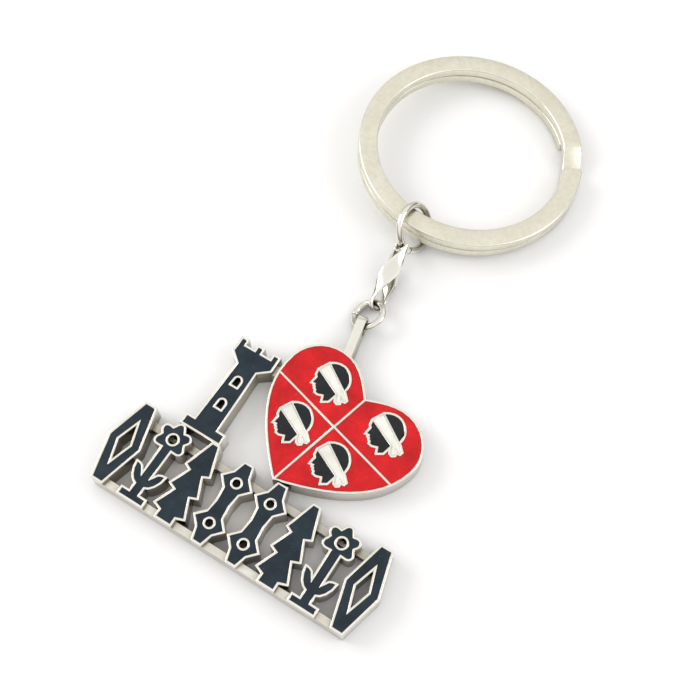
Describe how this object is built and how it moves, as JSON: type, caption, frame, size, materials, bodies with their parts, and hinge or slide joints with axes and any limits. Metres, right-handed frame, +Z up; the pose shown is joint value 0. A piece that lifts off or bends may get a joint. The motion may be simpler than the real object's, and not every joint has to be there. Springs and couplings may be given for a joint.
{
  "type": "keychain",
  "caption": "Flat enamelled souvenir pendant with a heart, a tower and a frieze of ornaments, on two jump rings, a twisted link and a split ring.",
  "frame": {"origin": "where the heart's two ribs cross, on the flat back of the pendant", "axes": "+X along the frieze of ornaments, +Y from the frieze towards the split ring, +Z up out of the enamelled face"},
  "size_m": [0.0401, 0.0832, 0.0065],
  "materials": {
    "nickel_plated_zinc": "polished, cast",
    "nickel_plated_steel": "polished",
    "satin_nickel_steel": "satin",
    "navy_enamel": "gloss soft enamel",
    "red_enamel": "gloss soft enamel",
    "black_enamel": "gloss soft enamel",
    "white_enamel": "gloss soft enamel"
  },
  "bodies": {
    "pendant": {"pendant_body": "nickel_plated_zinc", "navy_enamel_1": "navy_enamel", "navy_enamel_2": "navy_enamel", "navy_enamel_3": "navy_enamel", "navy_enamel_4": "navy_enamel", "navy_enamel_5": "navy_enamel", "navy_enamel_6": "navy_enamel", "navy_enamel_7": "navy_enamel", "navy_enamel_8": "navy_enamel", "navy_enamel_tower": "navy_enamel", "red_enamel_upper_left": "red_enamel", "red_enamel_lower_left": "red_enamel", "red_enamel_lower_right": "red_enamel", "red_enamel_upper_right": "red_enamel", "face_enamel_upper_left": "black_enamel", "face_enamel_lower_left": "black_enamel", "face_enamel_lower_right": "black_enamel", "face_enamel_upper_right": "black_enamel", "crown_enamel_upper_left": "black_enamel", "crown_enamel_lower_left": "black_enamel", "crown_enamel_lower_right": "black_enamel", "crown_enamel_upper_right": "black_enamel", "headband_enamel_upper_left": "white_enamel", "headband_enamel_lower_left": "white_enamel", "headband_enamel_lower_right": "white_enamel", "headband_enamel_upper_right": "white_enamel"},
    "lower_ring": {"lower_jump_ring": "nickel_plated_steel"},
    "link": {"twisted_link": "nickel_plated_steel"},
    "upper_ring": {"upper_jump_ring": "nickel_plated_steel"},
    "split_ring": {"split_ring": "satin_nickel_steel"}
  },
  "joints": [
    {"name": "lower_ring_swing", "type": "hinge", "parent": "pendant", "child": "lower_ring", "pos_m": [-0.00487, 0.01432, 0.0015], "axis": [0.9798, 0.2, 0], "range_deg": [-90, 90]},
    {"name": "link_swing", "type": "hinge", "parent": "lower_ring", "child": "link", "pos_m": [-0.00487, 0.01852, 0.0015], "axis": [0.9063, 0, 0.4226], "range_deg": [-60, 60]},
    {"name": "upper_ring_swing", "type": "hinge", "parent": "link", "child": "upper_ring", "pos_m": [-0.00607, 0.02713, 0.00332], "axis": [0.507, 0, -0.862], "range_deg": [-60, 60]},
    {"name": "split_ring_turn", "type": "hinge", "parent": "upper_ring", "child": "split_ring", "pos_m": [-0.00583, 0.04552, 0.00272], "axis": [0.0728, 0.0339, 0.9968], "continuous": true}
  ]
}
